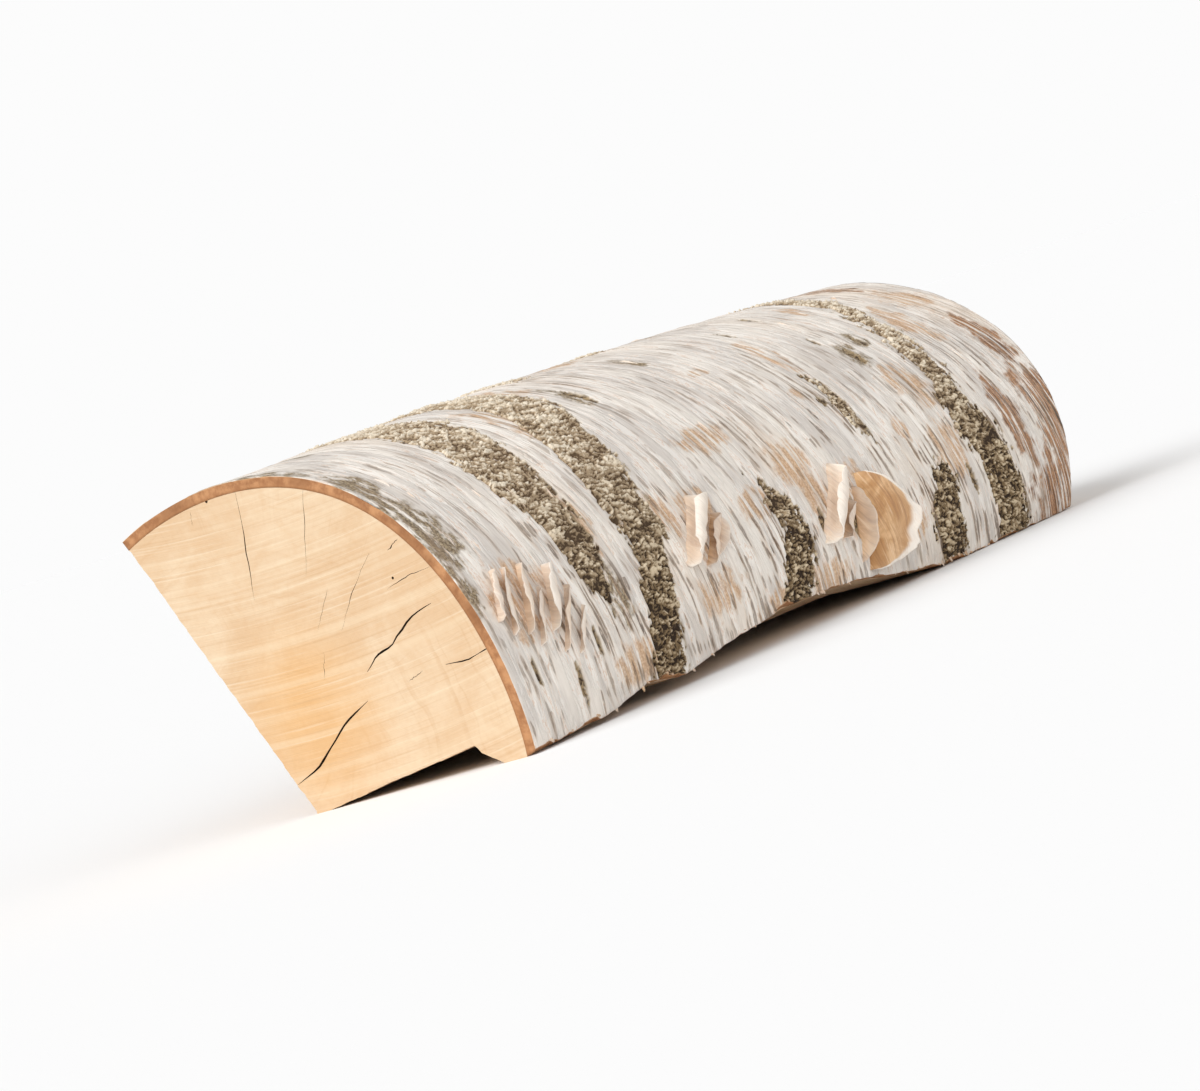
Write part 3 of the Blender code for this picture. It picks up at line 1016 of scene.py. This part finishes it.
def cut_cracks(piece):
    """Opens the drying cracks and pin holes in both sawn ends."""
    cutters = bmesh.new()
    for number, crack in enumerate(NEAR_CRACKS):
        crack_cutter(cutters, crack, 0.0, 1, 301 + number)
    for number, crack in enumerate(FAR_CRACKS):
        crack_cutter(cutters, crack, 1.0, -1, 351 + number)
    for angle, distance, radius in PIN_HOLES:
        x, z = pith_point(angle, distance, 0.0)
        turn = Matrix.Translation((x, NEAR_Y, z)) @ Matrix.Rotation(math.pi / 2, 4, "X")
        bmesh.ops.create_cone(cutters, cap_ends=True, segments=10, radius1=radius * MM * 0.4,
                              radius2=radius * MM, depth=3 * MM, matrix=turn)
    bmesh.ops.recalc_face_normals(cutters, faces=cutters.faces)
    data = bpy.data.meshes.new("crack_cutters")
    cutters.to_mesh(data)
    cutters.free()
    # The crack walls and pin holes take this material: dark brown painted in as the shade inside them.
    data.materials.append(CRACK_SHADE)
    cutter = bpy.data.objects.new("crack_cutters", data)
    bpy.context.scene.collection.objects.link(cutter)
    cut = piece.modifiers.new("cracks", "BOOLEAN")
    cut.object = cutter
    cut.operation, cut.solver, cut.material_mode = "DIFFERENCE", "EXACT", "TRANSFER"
    bpy.context.view_layer.update()
    graph = bpy.context.evaluated_depsgraph_get()
    solid = bpy.data.meshes.new_from_object(piece.evaluated_get(graph))
    piece.modifiers.clear()
    piece.data = solid
    bpy.data.objects.remove(cutter)


# ---------------------------------------------------------------- loose skin

HINGE_DEPTH = 0.6  # mm that a sheet starts under the skin


def curled_profile(profile, steps=60):
    """(travelled, forward, rise) along a sheet that leans more and more off the bark. The
    profile lists mm travelled and degrees of lean there."""
    lengths, leans = zip(*profile)
    travel = np.linspace(0, lengths[-1], steps + 1)
    lean = np.radians(np.interp(travel, lengths, leans))[:-1]
    forward = np.concatenate([[0], np.cumsum(np.cos(lean) * travel[1])])
    rise = np.concatenate([[0], np.cumsum(np.sin(lean) * travel[1])])
    return travel, forward, rise


def peel_sheet(shape, hinge, heading, profile, white, seed, round_end=2, fold=0.0, tip=0.0,
               cells=(26, 12)):
    """Adds one thin sheet of loose skin, hinged on the bark between two places, each an angle
    and mm from the near end. It heads 0 towards the far end, or 90 up the round side. White
    goes from the hinge to the tip, with tip added at the very edge. A low round_end makes an
    ear and a high one a strip."""
    made = bmesh.ops.create_grid(shape, x_segments=cells[0], y_segments=cells[1], size=0.5)["verts"]
    flat = np.array([vert.co for vert in made])
    go, side = flat[:, 0] + 0.5, flat[:, 1] + 0.5
    travel, forward, rise = curled_profile(profile)
    ragged = 0.14 * layered_noise(side * 3, side * 0, seed)
    ragged = ragged + 0.14 * layered_noise(side * 9, side * 0, seed + 3)
    outline = np.clip(1 - np.abs(2 * side - 1) ** round_end, 0.02, 1) ** 0.5 + ragged
    gone = go * travel[-1] * np.clip(outline, 0.02, 1.0)
    swell = 1 + 0.22 * smooth_noise(side * 2.2, side * 0, seed + 7)
    swell = swell + 0.06 * smooth_noise(side * 9, go * 3, seed + 8)
    out = np.interp(gone, travel, forward) * swell
    height = np.interp(gone, travel, rise) * swell + fold * np.sin(side * 19 + 2 * go) * go
    height = height + 0.12 * layered_noise(side * 3, go * 2, seed + 9) * go
    (angle_a, y_a), (angle_b, y_b) = hinge
    way = math.radians(heading)
    arc = (angle_a + (angle_b - angle_a) * side) * MM_PER_DEGREE + out * math.sin(way)
    y = y_a + (y_b - y_a) * side + out * math.cos(way)
    level = SKIN_LEVEL - HINGE_DEPTH * (1 - soft_step(gone, 0, 2.0))
    angle = arc / MM_PER_DEGREE
    points = inside_box(trunk_point(angle, along_at(angle, y), (level + height) * MM), SHEET_MARGIN)
    for vert, point in zip(made, points):
        vert.co = point
    shade = white[0] + (white[1] - white[0]) * go + tip * soft_step(go, 0.80, 0.92)
    return made, np.stack([arc * MM, y * MM, 0 * arc], axis=-1), np.clip(shade, 0, 1)


def finish_peels(name, sheets, thickness):
    """Builds a group of loose sheets as one piece, with their thickness in mm."""
    shape = bmesh.new()
    unrolled = shape.verts.layers.float_vector.new("unrolled")
    white_mark = shape.verts.layers.float.new("white")
    for sheet in sheets:
        verts, places, whites = peel_sheet(shape, **sheet)
        for vert, place, white in zip(verts, places, whites):
            vert[unrolled] = Vector(place)
            vert[white_mark] = white
    for face in shape.faces:
        face.smooth = True
    piece = finished_piece(name, shape, [PEEL])
    wall = piece.modifiers.new("wall", "SOLIDIFY")
    wall.thickness = thickness * MM
    wall.offset = 0.0


# How loose sheets lean off the bark: mm travelled from the hinge, and degrees of lean there.
CURL = ((0, 15), (3, 30), (5.5, 75), (8.5, 150), (11, 215), (12.5, 250))
SMALL_CURL = ((0, 20), (2, 45), (4, 105), (6.5, 190), (8, 230))
LIFTED = ((0, 10), (2.5, 35), (5, 55))
EAR = ((0, 30), (3, 38), (7, 22), (13, 6), (18, 2), (20.5, 30), (23, 62))
EAR_LINING = ((0, 30), (3, 60), (6, 100))
FOLD = ((0, 45), (1.4, 75), (2.8, 115), (4.6, 180), (6.2, 215))

# The hinges of the narrow folds: angle and mm from the near end, low and then high.
FOLD_HINGES = (
    (15.5, 6, 25.5, 15), (12.0, 9, 25.0, 20), (11.0, 15, 24.5, 27), (8.0, 18, 19.0, 30),
    (9.5, 26, 22.5, 37), (5.0, 27, 17.0, 41), (3.5, 33, 12.0, 44),
)
FLAKES = 90
FRINGE_SHREDS = 64


def make_peels():
    """The large curls, the ear-shaped flap and the sheaf of narrow folds."""
    finish_peels("peel_curls", (
        dict(hinge=((10.6, 98.0), (24.2, 117.5)), heading=-40, profile=CURL, white=(0.45, 1.0),
             seed=401, round_end=2.6, cells=(30, 24)),
        dict(hinge=((8.6, 108.0), (18.6, 123.5)), heading=-34, profile=SMALL_CURL, white=(0.0, 0.7),
             seed=405, round_end=2.2, cells=(26, 20)),
        dict(hinge=((9.4, 114.0), (17.5, 126.0)), heading=-30, profile=LIFTED, white=(0.2, 0.8),
             seed=409, cells=(12, 20)),
        dict(hinge=((3.0, 172.5), (19.0, 196.0)), heading=-40, profile=CURL, white=(0.45, 1.0),
             seed=413, round_end=3, cells=(30, 24)),
        dict(hinge=((2.5, 183.0), (10.0, 195.0)), heading=-38, profile=SMALL_CURL, white=(0.1, 0.8),
             seed=419, cells=(24, 14)),
    ), 0.22)
    finish_peels("peel_flap", (
        dict(hinge=((-6.0, 193.5), (14.6, 206.5)), heading=-24, profile=EAR, white=(0.0, 0.1),
             tip=1.0, seed=421, fold=0.45, cells=(44, 36)),
        dict(hinge=((-4.0, 190.5), (12.0, 201.5)), heading=-30, profile=EAR_LINING, white=(0.1, 0.6),
             seed=425, round_end=2.4, fold=0.3, cells=(14, 26)),
    ), 0.40)
    chance = np.random.default_rng(7)
    folds = []
    for low, near, high, far in FOLD_HINGES:
        stretch = chance.uniform(0.6, 1.25)
        folds.append(dict(
            hinge=((low, near), (high, far)), heading=-35 + chance.uniform(-8, 8),
            profile=[(travel * stretch, lean) for travel, lean in FOLD],
            white=(chance.uniform(0.1, 0.6), chance.uniform(0.7, 1.0)), seed=431 + near,
            fold=0.2, cells=(18, 22)))
    finish_peels("peel_folds", folds, 0.22)


def make_flakes():
    """Small lifted lips of skin, thicker on the lower side, and the frayed lower edge."""
    chance = np.random.default_rng(20)
    lips = []
    for number in range(FLAKES):
        angle = chance.triangular(-8, 12, 100)
        y = chance.uniform(6, 330)
        long = chance.uniform(3, 12) / MM_PER_DEGREE
        lean, reach = chance.uniform(20, 75), chance.uniform(0.35, 1.05)
        slant = chance.uniform(-0.3, 1.2)
        lips.append(dict(
            hinge=((angle, y), (angle + long, y + slant)),
            heading=chance.choice((0, 180)) + chance.uniform(-15, 15),
            profile=((0, lean * 0.4), (reach, lean)),
            white=(chance.uniform(0.1, 0.9), chance.uniform(0.6, 1.0)), seed=500 + number,
            cells=(2, 6)))
    finish_peels("skin_flakes", lips, 0.14)
    fringe = []
    for number in range(FRINGE_SHREDS):
        y = chance.uniform(4, 322)
        torn = torn_edge(np.array([y]), LOWER_TEAR)[0] / MM_PER_DEGREE
        angle = float(floor_angle(y * MM / FLOOR_LENGTH, 0) + torn) + 0.8
        wide = chance.uniform(0.5, 2.6)
        reach = chance.uniform(0.8, 2.4)
        fringe.append(dict(
            hinge=((angle, y), (angle, y + wide)), heading=-90 + chance.uniform(-25, 25),
            profile=((0, 5), (reach, chance.uniform(5, 50))), white=(0.3, chance.uniform(0, 0.7)),
            seed=700 + number, cells=(3, 3)))
    finish_peels("edge_fringe", fringe, 0.16)


# ---------------------------------------------------------------- floor, light and camera

PAPER_WHITE = 0.90
FLOOR_SIZE = 60.0
WORLD_LIGHT = 0.50
BACKDROP_LIGHT = 0.973  # so that the backdrop and the lit floor meet in one tone


def make_floor():
    shape = bmesh.new()
    bmesh.ops.create_grid(shape, x_segments=1, y_segments=1, size=FLOOR_SIZE)
    data = bpy.data.meshes.new("floor")
    shape.to_mesh(data)
    shape.free()
    material, _, principled = new_material("pale_floor", 0.9, 0.0)
    principled.inputs["Base Color"].default_value = (PAPER_WHITE, PAPER_WHITE, PAPER_WHITE, 1.0)
    data.materials.append(material)
    floor = bpy.data.objects.new("floor", data)
    bpy.context.scene.collection.objects.link(floor)


def make_light(name, place, softness, power):
    """A broad distant light, shining from a place towards the log."""
    data = bpy.data.lights.new(name, "SUN")
    data.angle = math.radians(softness)
    data.energy = power
    light = bpy.data.objects.new(name, data)
    bpy.context.scene.collection.objects.link(light)
    light.location = place
    light.rotation_euler = (-Vector(place)).to_track_quat("-Z", "Y").to_euler()


# The camera stands in front and to the right, almost level, and leans over to one side, so
# that the log shows tipped about its length as the top one of a stack would lie.
AZIMUTH = math.radians(35.983)
ELEVATION = math.radians(5.333)
ROLL = math.radians(-18.457)
CAMERA_AWAY = 1.2996
CAMERA_TARGET = Vector((-0.0405, NEAR_Y + 0.145, -0.0304))
LENS = 122.0
LOOK_AT = Vector((-0.015, -0.028, 0.043))


def leaned_axes(ahead):
    """(right, up) of a camera that looks ahead and leans over."""
    right = ahead.cross(Vector((0, 0, 1))).normalized()
    up = right.cross(ahead)
    return right * math.cos(ROLL) + up * math.sin(ROLL), up * math.cos(ROLL) - right * math.sin(ROLL)


def make_camera():
    level = math.cos(ELEVATION)
    away = Vector((math.sin(AZIMUTH) * level, -math.cos(AZIMUTH) * level, math.sin(ELEVATION)))
    place = CAMERA_TARGET + away * CAMERA_AWAY
    ahead = (LOOK_AT - place).normalized()
    right, up = leaned_axes(ahead)
    data = bpy.data.cameras.new("camera")
    data.sensor_width = 36.0
    data.lens = LENS
    data.clip_end = 1000
    camera = bpy.data.objects.new("camera", data)
    bpy.context.scene.collection.objects.link(camera)
    camera.matrix_world = Matrix.Translation(place) @ Matrix((right, up, -ahead)).transposed().to_4x4()
    bpy.context.scene.camera = camera


def make_studio():
    make_floor()
    make_light("key", (-0.6, -1.8, 1.7), 45, 2.1)
    make_light("fill", (1.6, -1.0, 1.0), 70, 0.9)
    world = bpy.data.worlds.new("world")
    bpy.context.scene.world = world
    world.use_nodes = True
    background = world.node_tree.nodes["Background"]
    background.inputs["Color"].default_value = (1.0, 1.0, 1.0, 1.0)
    shader = Shader(world.node_tree)
    seen = shader.node("LightPath").outputs["Is Camera Ray"]
    strength = shader.node("MapRange", seen, 0.0, 1.0, WORLD_LIGHT, BACKDROP_LIGHT).outputs[0]
    shader.feed(background.inputs["Strength"], strength)
    bpy.context.scene.view_settings.view_transform = "Standard"


make_studio()
make_camera()
make_bark()
for number, (band, relief, ragged) in enumerate(zip(BANDS, BAND_RELIEF, BAND_RAGGED), 1):
    make_cork_band(f"cork_band_{number}", band, relief, ragged)
make_wood()
make_peels()
make_flakes()
